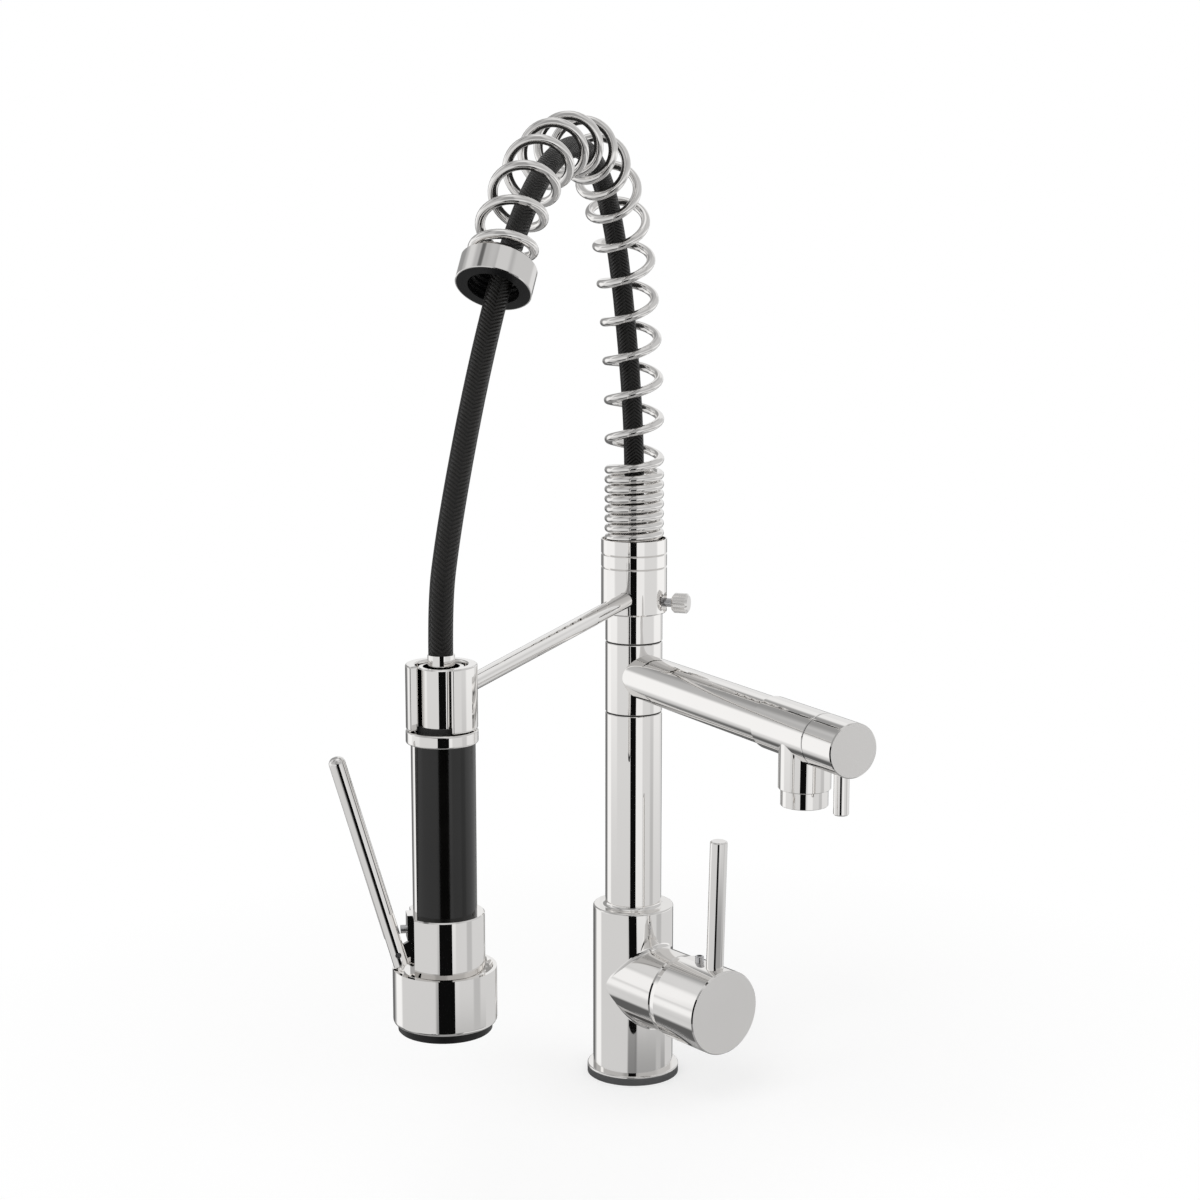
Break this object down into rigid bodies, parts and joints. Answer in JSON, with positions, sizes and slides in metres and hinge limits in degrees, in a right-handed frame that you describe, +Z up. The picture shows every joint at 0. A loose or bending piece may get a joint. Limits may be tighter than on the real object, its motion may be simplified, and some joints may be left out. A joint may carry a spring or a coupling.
{
  "type": "kitchen mixer tap",
  "caption": "Chrome kitchen mixer on a straight column, with a side lever, a fixed-height spout with its own tap, and a pull-down spray on a sprung hose docked on a side arm.",
  "frame": {"origin": "centre of the column on the deck surface", "axes": "+Z up along the column, +X along the mixer valve towards its handle"},
  "size_m": [0.2258, 0.2925, 0.5079],
  "materials": {
    "chrome": "polished chrome plate",
    "brass": "machined",
    "steel": "machined",
    "grip_black": "gloss",
    "black_plastic": "satin",
    "rubber": "matte",
    "gasket_grey": "matte",
    "hose_braid": "woven sleeve over rubber",
    "ceramic": "lapped ceramic",
    "white_plastic": "moulded"
  },
  "bodies": {
    "base": {"base_gasket": "gasket_grey", "base_ring": "chrome", "valve_body": "chrome", "inlet_block": "brass", "cartridge_seal": "rubber", "cartridge_shell": "white_plastic", "fixed_disc": "ceramic", "cartridge_nut": "brass", "riser_tube": "chrome", "swivel_spindle": "brass", "lower_spout_seal": "rubber", "upper_spout_seal": "rubber", "lower_slide_ring": "black_plastic", "upper_slide_ring": "black_plastic", "column_sleeve": "chrome"},
    "cartridge_rotor": {"stem_carrier": "white_plastic", "stem_pivot_pin": "steel"},
    "mixer_disc": {"moving_disc": "ceramic"},
    "handle": {"cartridge_stem": "steel", "handle_cap": "chrome", "handle_lever": "chrome", "handle_set_screw": "steel"},
    "spout": {"spout_collar": "chrome", "spout_tube": "chrome", "spout_end": "chrome", "aerator_ring": "chrome", "aerator_insert": "black_plastic", "aerator_seal": "rubber", "tap_headwork": "brass"},
    "tap": {"tap_spindle": "brass", "tap_cap": "chrome", "tap_lever": "chrome"},
    "upper": {"arm_collar": "chrome", "retaining_ring": "chrome", "spring_seat": "chrome", "hose_lower_ferrule": "steel", "spring": "chrome", "hose_arch": "hose_braid", "hose_drop": "hose_braid", "spring_end_cap": "chrome", "end_cap_bush": "black_plastic", "support_arm": "chrome", "dock_clip": "chrome"},
    "thumb_stud": {"thumbscrew_stud": "steel"},
    "thumb_knob": {"thumbscrew_knob": "chrome"},
    "hose_end": {"hose_ferrule": "chrome"},
    "spray_head": {"head_neck": "chrome", "dock_seal": "rubber", "head_flange": "chrome", "head_core": "chrome", "grip_sleeve": "grip_black", "valve_block": "chrome", "lever_bracket": "chrome", "lever_pivot_pin": "steel", "spray_cup": "chrome", "spray_rim": "black_plastic", "spray_face": "black_plastic"},
    "trigger": {"spray_lever": "chrome"},
    "plunger": {"spray_plunger": "steel"}
  },
  "joints": [
    {"name": "mix_turn", "type": "hinge", "parent": "base", "child": "cartridge_rotor", "pos_m": [0.0194, 0, 0.0528], "axis": [1, 0, 0], "range_deg": [-45, 45]},
    {"name": "disc_slide", "type": "slide", "parent": "cartridge_rotor", "child": "mixer_disc", "axis": [0, 0, 1], "range_m": [0, 0.00202]},
    {"name": "flow_lift", "type": "hinge", "parent": "cartridge_rotor", "child": "handle", "pos_m": [0.0194, 0, 0.0528], "axis": [0, 1, 0], "range_deg": [0, 20]},
    {"name": "spout_swivel", "type": "hinge", "parent": "base", "child": "spout", "pos_m": [0, 0, 0.22], "axis": [0, 0, 1], "continuous": true},
    {"name": "spout_tap", "type": "hinge", "parent": "spout", "child": "tap", "pos_m": [0, 0, 0.22], "axis": [0.9854, -0.1702, 0], "range_deg": [0, 90]},
    {"name": "arm_swivel", "type": "hinge", "parent": "base", "child": "upper", "pos_m": [0, 0, 0.265], "axis": [0, 0, 1], "range_deg": [-170, 170]},
    {"name": "stud_slide", "type": "slide", "parent": "upper", "child": "thumb_stud", "axis": [0.8358, 0.549, 0], "range_m": [0, 0.0024]},
    {"name": "knob_turn", "type": "hinge", "parent": "thumb_stud", "child": "thumb_knob", "pos_m": [0.01789, 0.01175, 0.2588], "axis": [0.8358, 0.549, 0], "range_deg": [0, 1080]},
    {"name": "head_undock", "type": "slide", "parent": "upper", "child": "hose_end", "axis": [0, 0, -1], "range_m": [0, 0.045], "deforming": ["hose_drop"]},
    {"name": "head_swivel", "type": "hinge", "parent": "hose_end", "child": "spray_head", "pos_m": [0.14835, -0.22584, 0.255], "axis": [0, 0, 1], "continuous": true},
    {"name": "spray_trigger", "type": "hinge", "parent": "spray_head", "child": "trigger", "pos_m": [0.13877, -0.2434, 0.152], "axis": [-0.878, 0.4787, 0], "range_deg": [0, 14], "stiffness_Nm_per_rad": 1.2, "springref_deg": -8.59},
    {"name": "plunger_push", "type": "slide", "parent": "spray_head", "child": "plunger", "axis": [0.4787, 0.878, 0], "range_m": [0, 0.00205]}
  ],
  "couplings": [
    {"joint": "disc_slide", "follows": "flow_lift", "m_per_rad": 0.0058},
    {"joint": "knob_turn", "follows": "stud_slide", "rad_per_m": 7854},
    {"joint": "plunger_push", "follows": "spray_trigger", "m_per_rad": 0.0084}
  ]
}
